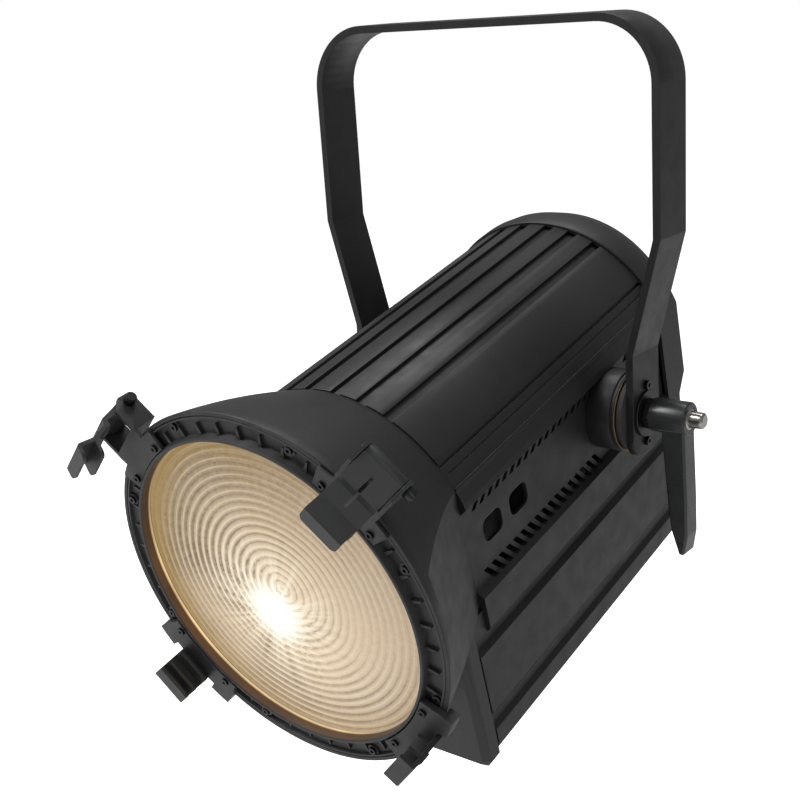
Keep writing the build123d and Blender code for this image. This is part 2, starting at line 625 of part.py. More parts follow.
for middle, name in zip(LATCH_ANGLES, ("right", "left")):
    with BuildPart() as bracket:
        with BuildSketch(BEAM.offset(RING_FACE)):
            annular_sector(119.2, 134.0, middle, 12.4)
            annular_sector(130.0, 140.4, middle, 7.4)
        extrude(amount=2.6)
        with BuildSketch(radial_plane(middle, -EAR_IN - EAR_T)):
            outline((263, 139.4), (263, 142), (RING_FACE + 2.6, 142), (RING_FACE + 2.6, 139.4))
        extrude(amount=2 * (EAR_IN + EAR_T))
        for w in (-EAR_IN - EAR_T, EAR_IN):
            with BuildSketch(radial_plane(middle, w)) as ear:
                outline(
                    (262.8, 139.4), (262.8, 160.5), (266, 163.7), (274, 164.2), (281.9, 157),
                    (281.9, 139.4),
                )
                fillet(ear.vertices().group_by(Axis.Y)[-1], 2)
            extrude(amount=EAR_T)
        with BuildSketch(radial_plane(middle, -EAR_IN - EAR_T)):
            with Locations((LATCH_PIN_S, LATCH_PIN_RAD)):
                Circle(PIN_R + 0.02)
        extrude(amount=2 * (EAR_IN + EAR_T), mode=Mode.SUBTRACT)
        with BuildSketch(BEAM.offset(262)):
            Circle(HOOD_RIM_R + 0.05)
        extrude(amount=RING_FACE - 262, mode=Mode.SUBTRACT)
        with BuildSketch(BEAM.offset(RING_FACE)):
            with Locations(polar(123, middle - 9.4), polar(123, middle + 9.4)):
                Circle(1.75)
        extrude(amount=2.6, mode=Mode.SUBTRACT)
    save(bracket, f"latch_bracket_{name}")

    with BuildPart() as latch:
        with BuildSketch(radial_plane(middle, -LATCH_HALF_W)):
            outline(
                (LATCH_PIN_S, 152.8), (LATCH_PIN_S, 163.3), (RING_FACE - 6, 162.2),
                (RING_FACE + 2, 157.4), (RING_FACE + 11, 152.6), (RING_FACE + 11.6, 148),
                (RING_FACE + 21, 141.6), (RING_FACE + 33.6, 140), (RING_FACE + 35, 138.6),
                (RING_FACE + 35, 128.6), (RING_FACE + 32.4, 128.6), (RING_FACE + 32.4, 137),
                (RING_FACE + 22.6, 138.4), (RING_FACE + 22.6, 127), (RING_FACE + 20.2, 127),
                (RING_FACE + 20.2, 139), (RING_FACE + 10.6, 145.6), (RING_FACE + 8, 145.6),
                (RING_FACE + 8, 150.6), (RING_FACE - 2, 153.6),
            )
            with Locations((LATCH_PIN_S, LATCH_PIN_RAD)):
                Circle(EYE_R)
        extrude(amount=2 * LATCH_HALF_W)
        lip_corners = [
            edge for edge in latch.edges().filter_by(BEAM_AXIS)
            if ((edge.center() - PIVOT).cross(FORWARD)).length < 132
        ]
        fillet(lip_corners, LIP_CORNER_R)
        with BuildSketch(radial_plane(middle, -LATCH_HALF_W)):
            with Locations((LATCH_PIN_S, LATCH_PIN_RAD)):
                Circle(PIN_R + FIT)
        extrude(amount=2 * LATCH_HALF_W, mode=Mode.SUBTRACT)
        with BuildSketch(radial_plane(middle, -SPRING_HALF_W)):
            with Locations((LATCH_PIN_S, LATCH_PIN_RAD)):
                Circle(SPRING_R + 0.3)
        extrude(amount=2 * SPRING_HALF_W, mode=Mode.SUBTRACT)
        with BuildSketch(radial_plane(middle, -1.1)):
            outline(
                (RING_FACE + 1, 150), (RING_FACE + 1, 160), (RING_FACE + 18, 160),
                (RING_FACE + 18, 138),
            )
        extrude(amount=2.2, mode=Mode.SUBTRACT)
    if name == "left":
        hinge = radial_plane(middle)
        pin = hinge.origin + hinge.x_dir * LATCH_PIN_S + hinge.y_dir * LATCH_PIN_RAD
        latch.part = latch.part.rotate(Axis(pin, hinge.z_dir), LEFT_LATCH_OPEN)
    save(latch, f"latch_{name}")

with BuildPart() as latch_pins:
    for middle in LATCH_ANGLES:
        with BuildSketch(radial_plane(middle, EAR_IN + EAR_T)):
            with Locations((LATCH_PIN_S, LATCH_PIN_RAD)):
                Circle(PIN_R)
        extrude(amount=-2 * (EAR_IN + EAR_T) - 0.1)
        with BuildSketch(radial_plane(middle, -EAR_IN - EAR_T - 0.1)):
            with Locations((LATCH_PIN_S, LATCH_PIN_RAD)):
                Circle(4)
        extrude(amount=-5.4)
        with BuildSketch(radial_plane(middle, -EAR_IN - EAR_T - 5.5)):
            with Locations((LATCH_PIN_S, LATCH_PIN_RAD)):
                Circle(3.2)
        extrude(amount=-0.8)
save(latch_pins, "latch_pins")

SPRING_TURNS = 6
SPRING_PITCH = 1.2

with BuildPart() as latch_springs:
    for middle in LATCH_ANGLES:
        for turn in range(SPRING_TURNS):
            w = (turn - (SPRING_TURNS - 1) / 2) * SPRING_PITCH
            with BuildSketch(radial_plane(middle, w)):
                with Locations((LATCH_PIN_S, LATCH_PIN_RAD)):
                    Circle(SPRING_R)
                    Circle(3.0, mode=Mode.SUBTRACT)
            extrude(amount=0.65, both=True)
save(latch_springs, "latch_springs")

HOLDER_SCREW_SPOTS = []
for middle in (-HOLDER_ANGLE, 180 + HOLDER_ANGLE):
    HOLDER_SCREW_SPOTS += [polar(123, middle - 11.2), polar(123, middle + 11.2)]
LATCH_SCREW_SPOTS = []
for middle in LATCH_ANGLES:
    LATCH_SCREW_SPOTS += [polar(123, middle - 9.4), polar(123, middle + 9.4)]
low_screws = cap_screw(
    BEAM.offset(RING_FACE + FOOT_T), HOLDER_SCREW_SPOTS, 2.9, 1.6, 1.7, FOOT_T - 0.1, 1.3
)
high_screws = cap_screw(
    BEAM.offset(RING_FACE + 2.6), LATCH_SCREW_SPOTS, 2.9, 1.6, 1.7, 2.5, 1.3
)
with BuildPart() as holder_screws:
    add(low_screws.part)
    add(high_screws.part)
save(holder_screws, "holder_screws")

# ----------------------------------------------------------------------------
# Rear cap and rear panel
# ----------------------------------------------------------------------------
CAP_BACK = 131.0
CAP_R = 107.6            # the cap stands proud of the top shell
PANEL_BACK = 120.0
LOW_TOP = (108.0, -46.0)     # (back, up) where the lower rear face starts
LOW_END = (95.0, HOUSING_BOTTOM + 1)
REAR_SCREW_SPOTS = [(x, up) for x in (-86, 86) for up in (46, -22)]


def rear_block(inset):
    """Filled rear cap, smaller by the inset on every outer face."""
    with BuildPart() as solid:
        with BuildSketch(MERIDIAN):
            outline(
                (BODY_REAR, 0), (BODY_REAR, CAP_R - 0.8 - inset), (BODY_REAR - 0.8, CAP_R - inset),
                (BODY_REAR - 14, CAP_R - inset), (BODY_REAR - 26, CAP_R - 2.2 - inset),
                (-CAP_BACK, 98.5 - inset), (-CAP_BACK, 0),
            )
        revolve(axis=BEAM_AXIS)
        with BuildSketch(REAR.offset(-BODY_REAR)):
            with Locations((0, -75)):
                Rectangle(2 * (98.5 - inset), 150 - 2 * inset)
        extrude(amount=CAP_BACK + BODY_REAR)
        with BuildSketch(PROFILE.offset(-(98.5 - inset))):
            outline(
                (80, 110), (CAP_BACK - inset, 110), (CAP_BACK - inset, 98),
                (PANEL_BACK - inset, 56), (PANEL_BACK - inset, -31),
                (LOW_TOP[0] - inset, LOW_TOP[1]), (LOW_END[0] - inset, LOW_END[1] + inset),
                (80, LOW_END[1] + inset),
            )
        extrude(amount=2 * (98.5 - inset), mode=Mode.INTERSECT)
    return solid


cap_outer = rear_block(0)
cap_inner = rear_block(WALL)

LOW_EDGE = (LOW_TOP[0] - LOW_END[0], LOW_TOP[1] - LOW_END[1])
LOW_FACE = Plane(
    origin=PIVOT - FORWARD * (LOW_TOP[0] + LOW_END[0]) / 2 + UP * (LOW_TOP[1] + LOW_END[1]) / 2,
    x_dir=-RIGHT,
    z_dir=-FORWARD * LOW_EDGE[1] - UP * LOW_EDGE[0],
)
INLET_AT = (52.0, 0.0)
DATA_AT = [(-58.0, 10.0), (-22.0, 10.0)]
FUSE_AT = (14.0, 10.0)

with BuildPart() as rear_cap:
    add(cap_outer.part)
    add(cap_inner.part, mode=Mode.SUBTRACT)
    with BuildSketch(REAR.offset(PANEL_BACK - 8)):
        with Locations((0, 12)):
            RectangleRounded(150, 76, 6)
        with Locations(*REAR_SCREW_SPOTS):
            Circle(1.8)
    extrude(amount=12, mode=Mode.SUBTRACT)
    with BuildSketch(REAR.offset(PANEL_BACK - 12)):
        with Locations(*REAR_SCREW_SPOTS):
            Circle(1.8)
    extrude(amount=6, mode=Mode.SUBTRACT)
    with BuildSketch(LOW_FACE.offset(6)):
        with Locations(INLET_AT):
            RectangleRounded(30.2, 22.2, 5)
        with Locations(*DATA_AT):
            Circle(11.3)
        with Locations(FUSE_AT):
            Circle(5.9)
    extrude(amount=-14, mode=Mode.SUBTRACT)
save(rear_cap, "rear_cap")

DISPLAY_X = -30.0
PANEL_UP = 12.0
KNOBS = {"dimmer_knob": (34.0, 28.0), "focus_knob": (34.0, -6.0)}
KEYS = [(-50.0, -12.0), (-30.0, -12.0), (-10.0, -12.0)]
SWITCH_AT = (60.0, -6.0)

with BuildPart() as rear_panel:
    with BuildSketch(REAR.offset(PANEL_BACK - 3)):
        with Locations((0, PANEL_UP)):
            RectangleRounded(149.6, 75.6, 5.8)
        with Locations((DISPLAY_X, 26)):
            RectangleRounded(58, 34, 2, mode=Mode.SUBTRACT)
        with Locations(*KNOBS.values()):
            Circle(3.6, mode=Mode.SUBTRACT)
        with Locations(*KEYS):
            RectangleRounded(12.4, 7.4, 2, mode=Mode.SUBTRACT)
        with Locations(SWITCH_AT):
            Rectangle(13.4, 20.6, mode=Mode.SUBTRACT)
    extrude(amount=2.6)
save(rear_panel, "rear_panel")

with BuildPart() as display:
    with BuildSketch(REAR.offset(PANEL_BACK - 4)):
        with Locations((DISPLAY_X, 26)):
            RectangleRounded(57.6, 33.6, 1.8)
    extrude(amount=3)
save(display, "display_window")

for name, (kx, ku) in KNOBS.items():
    with BuildPart() as knob:
        with BuildSketch(REAR.offset(PANEL_BACK)):
            with Locations((kx, ku)):
                Circle(11)
                with PolarLocations(11.3, 24):
                    Circle(0.8, mode=Mode.SUBTRACT)
        extrude(amount=12)
        with BuildSketch(REAR.offset(PANEL_BACK + 12)):
            with Locations((kx, ku)):
                Circle(9.6)
        extrude(amount=1)
        with BuildSketch(REAR.offset(PANEL_BACK - 9)):
            with Locations((kx, ku)):
                Circle(3.5)
        extrude(amount=9)
    save(knob, name)

for number, (kx, ku) in enumerate(KEYS, 1):
    with BuildPart() as key:
        with BuildSketch(REAR.offset(PANEL_BACK - 3.6)):
            with Locations((kx, ku)):
                RectangleRounded(12, 7, 1.8)
        extrude(amount=4.8)
        chamfer(key.faces().sort_by(Axis(PIVOT, -FORWARD))[-1].edges(), 0.5)
    save(key, f"menu_key_{number}")

with BuildPart() as power_rocker:
    rocker_plane = PROFILE.offset(-SWITCH_AT[0] - 6.2)
    with BuildSketch(rocker_plane):
        outline(
            (PANEL_BACK - 8, SWITCH_AT[1] - 6), (PANEL_BACK - 1.2, SWITCH_AT[1] - 9.2),
            (PANEL_BACK + 1.2, SWITCH_AT[1] - 9), (PANEL_BACK - 0.2, SWITCH_AT[1]),
            (PANEL_BACK + 3.4, SWITCH_AT[1] + 9), (PANEL_BACK - 0.6, SWITCH_AT[1] + 9.2),
            (PANEL_BACK - 8, SWITCH_AT[1] + 6),
        )
    extrude(amount=12.4)
    with BuildSketch(rocker_plane.offset(-1.3)):
        with Locations((PANEL_BACK - 4, SWITCH_AT[1])):
            Circle(0.9)
    extrude(amount=15)
save(power_rocker, "power_rocker")

# Sockets on the lower, sloping face of the rear cap
with BuildPart() as power_inlet:
    with BuildSketch(LOW_FACE):
        with Locations(INLET_AT):
            RectangleRounded(50, 26, 5)
    extrude(amount=2.5)
    with BuildSketch(LOW_FACE.offset(-14)):
        with Locations(INLET_AT):
            RectangleRounded(30, 22, 5)
    extrude(amount=14)
    with BuildSketch(LOW_FACE.offset(2.5)):
        with Locations(INLET_AT):
            RectangleRounded(26, 18, 4)
    extrude(amount=-14, mode=Mode.SUBTRACT)
    with BuildSketch(LOW_FACE.offset(-12)):
        with Locations(INLET_AT):
            with Locations((0, 3.6), (-7, -3.0), (7, -3.0)):
                Rectangle(2, 4.4)
    extrude(amount=3.6)
save(power_inlet, "power_inlet")

with BuildPart() as data_sockets:
    with BuildSketch(LOW_FACE):
        with Locations(*DATA_AT):
            RectangleRounded(26, 31, 3)
    extrude(amount=2)
    with BuildSketch(LOW_FACE.offset(-12)):
        with Locations(*DATA_AT):
            Circle(11.2)
    extrude(amount=12.4)
    with BuildSketch(LOW_FACE.offset(2)):
        with Locations(*DATA_AT):
            Circle(9.2)
    extrude(amount=-12, mode=Mode.SUBTRACT)
    with BuildSketch(LOW_FACE.offset(-10)):
        with Locations(*DATA_AT):
            with PolarLocations(5, 5, start_angle=54):
                Circle(1)
    extrude(amount=2)
save(data_sockets, "data_sockets")

with BuildPart() as fuse_holder:
    with BuildSketch(LOW_FACE):
        with Locations(FUSE_AT):
            Circle(8)
    extrude(amount=3)
    with BuildSketch(LOW_FACE.offset(3)):
        with Locations(FUSE_AT):
            Circle(6.2)
    extrude(amount=4)
    chamfer(fuse_holder.faces().sort_by(Axis(PIVOT, -FORWARD))[-1].edges(), 0.6)
    with BuildSketch(LOW_FACE.offset(7)):
        with Locations(FUSE_AT):
            Rectangle(9, 1.6)
    extrude(amount=-1.6, mode=Mode.SUBTRACT)
    with BuildSketch(LOW_FACE):
        with Locations(FUSE_AT):
            Circle(5.8)
    extrude(amount=-16)
save(fuse_holder, "fuse_holder")

rear_screws = cap_screw(REAR.offset(PANEL_BACK), REAR_SCREW_SPOTS, 3.0, 1.8, 1.7, 10, 1.4)
save(rear_screws, "rear_screws")

# ----------------------------------------------------------------------------
# Optical engine on its guide rods
# ----------------------------------------------------------------------------
FRONT_PLATE_S = 176.0
REAR_PLATE_S = -50.0
PLATE_T = 3.0
SCREW_UP = -74.0
SCREW_R = 4.0
BUSH_R = 7.5

for station, name in ((FRONT_PLATE_S, "front_bulkhead"), (REAR_PLATE_S, "rear_bulkhead")):
    with BuildPart() as bulkhead:
        with BuildSketch(BEAM.offset(station)):
            Circle(99.5)
            with Locations((0, -50)):
                Rectangle(178, 98)
            Rectangle(178, 240, mode=Mode.INTERSECT)
            Circle(62 if station > 0 else 40, mode=Mode.SUBTRACT)
            with Locations((-ROD_X, ROD_UP), (ROD_X, ROD_UP)):
                Circle(ROD_R + 0.05, mode=Mode.SUBTRACT)
            with Locations((0, SCREW_UP)):
                Circle(SCREW_R + 0.1, mode=Mode.SUBTRACT)
        extrude(amount=PLATE_T)
    save(bulkhead, name)

with BuildPart() as guide_rods:
    with BuildSketch(BEAM.offset(REAR_PLATE_S)):
        with Locations((-ROD_X, ROD_UP), (ROD_X, ROD_UP)):
            Circle(ROD_R)
    extrude(amount=FRONT_PLATE_S + PLATE_T - REAR_PLATE_S)
save(guide_rods, "guide_rods")

with BuildPart() as lead_screw:
    with BuildSketch(MERIDIAN):
        start = REAR_PLATE_S - 3
        end = FRONT_PLATE_S + PLATE_T + 2
        outline(
            (start, SCREW_UP), (start, SCREW_UP + 3), (REAR_PLATE_S + 4, SCREW_UP + 3),
            (REAR_PLATE_S + 4, SCREW_UP + SCREW_R), (FRONT_PLATE_S - 1, SCREW_UP + SCREW_R),
            (FRONT_PLATE_S - 1, SCREW_UP + 3), (end, SCREW_UP + 3), (end, SCREW_UP),
        )
    revolve(axis=Axis(PIVOT + UP * SCREW_UP, FORWARD))
save(lead_screw, "lead_screw")

with BuildPart() as zoom_motor:
    with BuildSketch(BEAM.offset(REAR_PLATE_S)):
        with Locations((0, SCREW_UP)):
            RectangleRounded(42, 42, 4)
    extrude(amount=-34)
    with BuildSketch(BEAM.offset(REAR_PLATE_S)):
        with Locations((0, SCREW_UP)):
            Circle(4)
    extrude(amount=-5, mode=Mode.SUBTRACT)
save(zoom_motor, "zoom_motor")

with BuildPart() as carriage:
    with BuildSketch(BEAM.offset(CARRIAGE_S)):
        with Locations((0, -20)):
            RectangleRounded(156, 130, 10)
        with Locations((-ROD_X, ROD_UP), (ROD_X, ROD_UP)):
            Circle(BUSH_R, mode=Mode.SUBTRACT)
        with Locations((0, SCREW_UP)):
            Circle(BUSH_R, mode=Mode.SUBTRACT)
    extrude(amount=5)
save(carriage, "carriage_plate")

with BuildPart() as bushes:
    with BuildSketch(BEAM.offset(CARRIAGE_S - 8)):
        with Locations((-ROD_X, ROD_UP), (ROD_X, ROD_UP)):
            Circle(BUSH_R)
            Circle(ROD_R + FIT, mode=Mode.SUBTRACT)
    extrude(amount=24)
save(bushes, "linear_bushes")

with BuildPart() as screw_nut:
    with BuildSketch(BEAM.offset(CARRIAGE_S - 4)):
        with Locations((0, SCREW_UP)):
            Circle(BUSH_R)
            Circle(SCREW_R + FIT, mode=Mode.SUBTRACT)
    extrude(amount=16)
save(screw_nut, "lead_nut")

with BuildPart() as heat_sink:
    with BuildSketch(BEAM.offset(CARRIAGE_S)):
        Rectangle(96, 84)
    extrude(amount=-6)
    with BuildSketch(BEAM.offset(CARRIAGE_S - 6)):
        with GridLocations(5.6, 0, 17, 1):
            Rectangle(1.6, 84)
    extrude(amount=-40)
save(heat_sink, "heat_sink")

with BuildPart() as led_array:
    with BuildSketch(BEAM.offset(CARRIAGE_S + 5)):
        Rectangle(44, 44)
    extrude(amount=2)
    with BuildSketch(BEAM.offset(CARRIAGE_S + 7)):
        Circle(17)
    extrude(amount=1.2)
save(led_array, "led_array")

with BuildPart() as reflector:
    with BuildSketch(MERIDIAN):
        with BuildLine():
            Polyline((CARRIAGE_S + 7.4, 24.5), (CARRIAGE_S + 7.4, 23))
            ThreePointArc((CARRIAGE_S + 7.4, 23), (CARRIAGE_S + 20, 37), (CARRIAGE_S + 40, 47))
            Polyline(
                (CARRIAGE_S + 40, 47), (CARRIAGE_S + 40, 52), (CARRIAGE_S + 38.6, 52),
                (CARRIAGE_S + 38.6, 48.4),
            )
            ThreePointArc(
                (CARRIAGE_S + 38.6, 48.4), (CARRIAGE_S + 19, 38.6), (CARRIAGE_S + 7.4, 24.5)
            )
        make_face()
    revolve(axis=BEAM_AXIS)
save(reflector, "reflector")

# ----------------------------------------------------------------------------
# Fan behind the engine, power supply and control board below
# ----------------------------------------------------------------------------
FAN_S = -80.0

with BuildPart() as fan_frame:
    with BuildSketch(BEAM.offset(FAN_S)):
        RectangleRounded(80, 80, 5)
        Circle(38, mode=Mode.SUBTRACT)
    extrude(amount=25)
    with BuildSketch(BEAM.offset(FAN_S)):
        Circle(14)
        with PolarLocations(26, 4, start_angle=45):
            Rectangle(26, 4)
    extrude(amount=3)
    with BuildSketch(BEAM.offset(FAN_S + 3)):
        Circle(4)
    extrude(amount=10)
save(fan_frame, "fan_frame")

with BuildPart() as fan_rotor:
    with BuildSketch(BEAM.offset(FAN_S + 4)):
        Circle(15)
        Circle(4 + FIT, mode=Mode.SUBTRACT)
    extrude(amount=19)
    for blade in range(7):
        turn = blade * 360 / 7
        with BuildSketch(BEAM.offset(FAN_S + 6)):
            with Locations(polar(25, turn)):
                Rectangle(22, 2, rotation=turn)
        extrude(amount=15)
save(fan_rotor, "fan_rotor")

with BuildPart() as power_supply:
    with BuildSketch(BEAM.offset(-40)):
        with Locations((0, -124)):
            RectangleRounded(130, 42, 3)
    extrude(amount=160)
save(power_supply, "power_supply")

with BuildPart() as control_board:
    with BuildSketch(REAR.offset(104)):
        with Locations((0, 14)):
            Rectangle(130, 64)
            Circle(3, mode=Mode.SUBTRACT)
    extrude(amount=1.6)
save(control_board, "control_board")
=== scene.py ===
import json
import math

import bmesh
import bpy
from mathutils import Matrix, Vector


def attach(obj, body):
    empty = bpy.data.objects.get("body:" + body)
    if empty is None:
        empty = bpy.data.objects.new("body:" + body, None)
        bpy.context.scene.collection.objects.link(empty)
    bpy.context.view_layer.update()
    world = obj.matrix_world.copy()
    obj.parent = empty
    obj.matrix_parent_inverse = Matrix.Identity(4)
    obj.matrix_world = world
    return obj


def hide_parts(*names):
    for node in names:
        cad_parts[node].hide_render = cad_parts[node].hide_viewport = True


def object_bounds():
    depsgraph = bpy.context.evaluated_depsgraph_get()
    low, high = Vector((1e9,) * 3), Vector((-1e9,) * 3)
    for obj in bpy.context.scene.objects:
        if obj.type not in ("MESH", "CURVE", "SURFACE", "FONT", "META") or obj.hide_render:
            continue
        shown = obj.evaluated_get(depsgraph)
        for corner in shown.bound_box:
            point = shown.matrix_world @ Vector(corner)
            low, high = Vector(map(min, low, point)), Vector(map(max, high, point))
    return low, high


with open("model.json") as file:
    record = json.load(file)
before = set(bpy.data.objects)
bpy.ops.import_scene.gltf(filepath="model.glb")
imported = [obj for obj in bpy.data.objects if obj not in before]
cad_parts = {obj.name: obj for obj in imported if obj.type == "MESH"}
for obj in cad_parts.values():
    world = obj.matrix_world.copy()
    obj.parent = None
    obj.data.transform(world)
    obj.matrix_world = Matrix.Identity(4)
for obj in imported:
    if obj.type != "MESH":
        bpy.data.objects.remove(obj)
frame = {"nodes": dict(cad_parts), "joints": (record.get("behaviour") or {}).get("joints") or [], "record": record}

CAD_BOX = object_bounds()

# ----------------------------------------------------------------------------
# The lamp head's own directions, read from the frame's joints.
# "s" is a station along the beam, forwards from the tilt axis, and "r" a
# radius about the beam. Lengths are in metres.
# ----------------------------------------------------------------------------
JOINTS = {joint["name"]: joint for joint in frame["joints"]}
PIVOT = Vector(JOINTS["tilt"]["pos_m"])
RIGHT = Vector((1, 0, 0))
FORWARD = Vector(JOINTS["focus_slide"]["axis"]).normalized()
UP = FORWARD.cross(RIGHT)
MM = 0.001


def head(x, up, s):
    """A point of the lamp head, in millimetres from the tilt axis."""
    return PIVOT + (RIGHT * x + UP * up + FORWARD * s) * MM


# ----------------------------------------------------------------------------
# Materials
# ----------------------------------------------------------------------------
class Shader:
    """A node material under construction, with a Principled shader."""

    def __init__(self, name, **sockets):
        self.material = bpy.data.materials.new(name)
        self.material.use_nodes = True
        self.tree = self.material.node_tree
        self.bsdf = self.tree.nodes["Principled BSDF"]
        for socket, value in sockets.items():
            self.bsdf.inputs[socket.title()].default_value = value
        self.object = self.add("ShaderNodeTexCoord").outputs["Object"]

    @classmethod
    def resume(cls, material):
        """Goes on with a material that was made before."""
        s = cls.__new__(cls)
        s.material = material
        s.tree = material.node_tree
        s.bsdf = s.tree.nodes["Principled BSDF"]
        s.object = s.add("ShaderNodeTexCoord").outputs["Object"]
        return s

    def add(self, kind, values=(), **settings):
        """A node with its settings, and its inputs set or linked by name."""
        node = self.tree.nodes.new(kind)
        for key, value in settings.items():
            setattr(node, key, value)
        for key, value in dict(values).items():
            if isinstance(value, bpy.types.NodeSocket):
                self.tree.links.new(value, node.inputs[key])
            else:
                node.inputs[key].default_value = value
        return node

    def noise(self, scale, detail=2.0, rough=0.5, at=None):
        values = {"Vector": at or self.object, "Scale": scale, "Detail": detail, "Roughness": rough}
        return self.add("ShaderNodeTexNoise", values).outputs["Fac"]

    def math(self, operation, a, b=0.0):
        return self.add("ShaderNodeMath", {0: a, 1: b}, operation=operation).outputs[0]

    def remap(self, value, low, high, to_low, to_high, smooth=False):
        node = self.add(
            "ShaderNodeMapRange",
            {"Value": value, "From Min": low, "From Max": high, "To Min": to_low, "To Max": to_high},
        )
        node.interpolation_type = "SMOOTHSTEP" if smooth else "LINEAR"
        return node.outputs["Result"]

    def mix(self, factor, a, b):
        node = self.add("ShaderNodeMix", data_type="RGBA")
        for index, value in ((0, factor), (6, a), (7, b)):
            if isinstance(value, bpy.types.NodeSocket):
                self.tree.links.new(value, node.inputs[index])
            else:
                node.inputs[index].default_value = value
        return node.outputs[2]

    def set(self, socket, value):
        self.tree.links.new(value, self.bsdf.inputs[socket])

    def bump(self, height, strength, distance, after=None):
        values = {"Height": height, "Strength": strength, "Distance": distance}
        if after:
            values["Normal"] = after
        return self.add("ShaderNodeBump", values).outputs["Normal"]

    def edges(self, radius, low=0.86, high=0.995):
        """1 on sharp edges, 0 on flats."""
        soft = self.add("ShaderNodeBevel", {"Radius": radius}, samples=4).outputs["Normal"]
        flat = self.add("ShaderNodeNewGeometry").outputs["Normal"]
        dot = self.add("ShaderNodeVectorMath", {0: soft, 1: flat}, operation="DOT_PRODUCT")
        return self.remap(dot.outputs["Value"], high, low, 0.0, 1.0)

    def beam_radius(self):
        """Distance from the beam axis and station along it, in metres, and the offset from the axis."""
        from_pivot = self.add(
            "ShaderNodeVectorMath", {0: self.object, 1: PIVOT}, operation="SUBTRACT"
        ).outputs["Vector"]
        along = self.add(
            "ShaderNodeVectorMath", {0: from_pivot, 1: FORWARD}, operation="DOT_PRODUCT"
        ).outputs["Value"]
        on_axis = self.add(
            "ShaderNodeVectorMath", {0: FORWARD, "Scale": along}, operation="SCALE"
        ).outputs["Vector"]
        radial = self.add(
            "ShaderNodeVectorMath", {0: from_pivot, 1: on_axis}, operation="SUBTRACT"
        ).outputs["Vector"]
        length = self.add("ShaderNodeVectorMath", {0: radial}, operation="LENGTH").outputs["Value"]
        return length, along, radial


def grey(value, tint=(1.0, 1.0, 1.0)):
    return (value * tint[0], value * tint[1], value * tint[2], 1.0)


def powder_coat(name, value, tint=(1.0, 1.0, 1.0), rough=0.5, grain=1500.0, edge_paleness=0.5):
    """Fine-textured powder coat, a little paler on its edges."""
    s = Shader(name)
    drift = s.noise(9.0, 3.0)
    speck = s.noise(grain, 2.0)
    base = s.mix(s.remap(drift, 0.3, 0.7, 0, 1), grey(value * 0.9, tint), grey(value * 1.1, tint))
    fleck = s.mix(s.remap(speck, 0.55, 0.8, 0, 0.35), base, grey(value * 2.2, tint))
    # Edges are paler, in patches.
    pale_edge = s.math("MULTIPLY", s.edges(0.0011), s.remap(s.noise(140.0, 4.0), 0.35, 0.65, 0.15, 1.0))
    s.set("Base Color", s.mix(s.math("MULTIPLY", pale_edge, edge_paleness), fleck, grey(value * 3.0, tint)))
    s.set("Roughness", s.remap(s.noise(70.0, 3.0), 0.3, 0.7, rough - 0.05, rough + 0.07))
    s.set("Normal", s.bump(speck, 0.35, 0.00012, s.bump(s.noise(grain / 5, 1.0), 0.2, 0.0002)))
    s.bsdf.inputs["Specular IOR Level"].default_value = 0.45
    return s.material


def moulded(name, value, tint=(1.0, 1.0, 1.0), rough=0.45, grain=900.0):
    """Moulded plastic with a spark-eroded texture."""
    s = Shader(name)
    drift = s.noise(14.0, 3.0)
    texture = s.noise(grain, 3.0, 0.6)
    base = s.mix(s.remap(drift, 0.3, 0.7, 0, 1), grey(value * 0.92, tint), grey(value * 1.08, tint))
    edge = s.math("MULTIPLY", s.edges(0.0009), 0.35)
    s.set("Base Color", s.mix(edge, base, grey(value * 2.0, tint)))
    s.set("Roughness", s.remap(texture, 0.3, 0.7, rough - 0.06, rough + 0.08))
    s.set("Normal", s.bump(texture, 0.25, 0.0001))
    return s.material


def metal(name, colour, rough=0.25, brush=0.3, direction=(1.0, 1.0, 30.0), scale=90.0):
    """Bare or plated metal, brushed along one axis."""
    s = Shader(name, metallic=1.0)
    stretched = s.add(
        "ShaderNodeMapping", {"Vector": s.object, "Scale": direction}
    ).outputs["Vector"]
    lines = s.noise(scale, 4.0, 0.6, stretched)
    smudge = s.noise(35.0, 3.0)
    dark = tuple(c * 0.82 for c in colour) + (1.0,)
    s.set("Base Color", s.mix(s.remap(smudge, 0.3, 0.7, 0, 1), dark, tuple(colour) + (1.0,)))
    s.set("Roughness", s.remap(lines, 0.3, 0.7, rough - 0.06, rough + 0.1))
    s.set("Normal", s.bump(lines, brush * 0.3, 0.00005))
    return s.material


def rubber(name, value):
    s = Shader(name)
    texture = s.noise(600.0, 3.0)
    s.set("Base Color", s.mix(texture, grey(value * 0.8), grey(value * 1.2)))
    s.set("Roughness", s.remap(texture, 0.3, 0.7, 0.7, 0.9))
    s.set("Normal", s.bump(texture, 0.3, 0.0001))
    return s.material


# Side of the bezel's inner wall where its painted glow is brightest.
GLOW_SIDE = (-0.64, UP.y * -0.77, UP.z * -0.77)


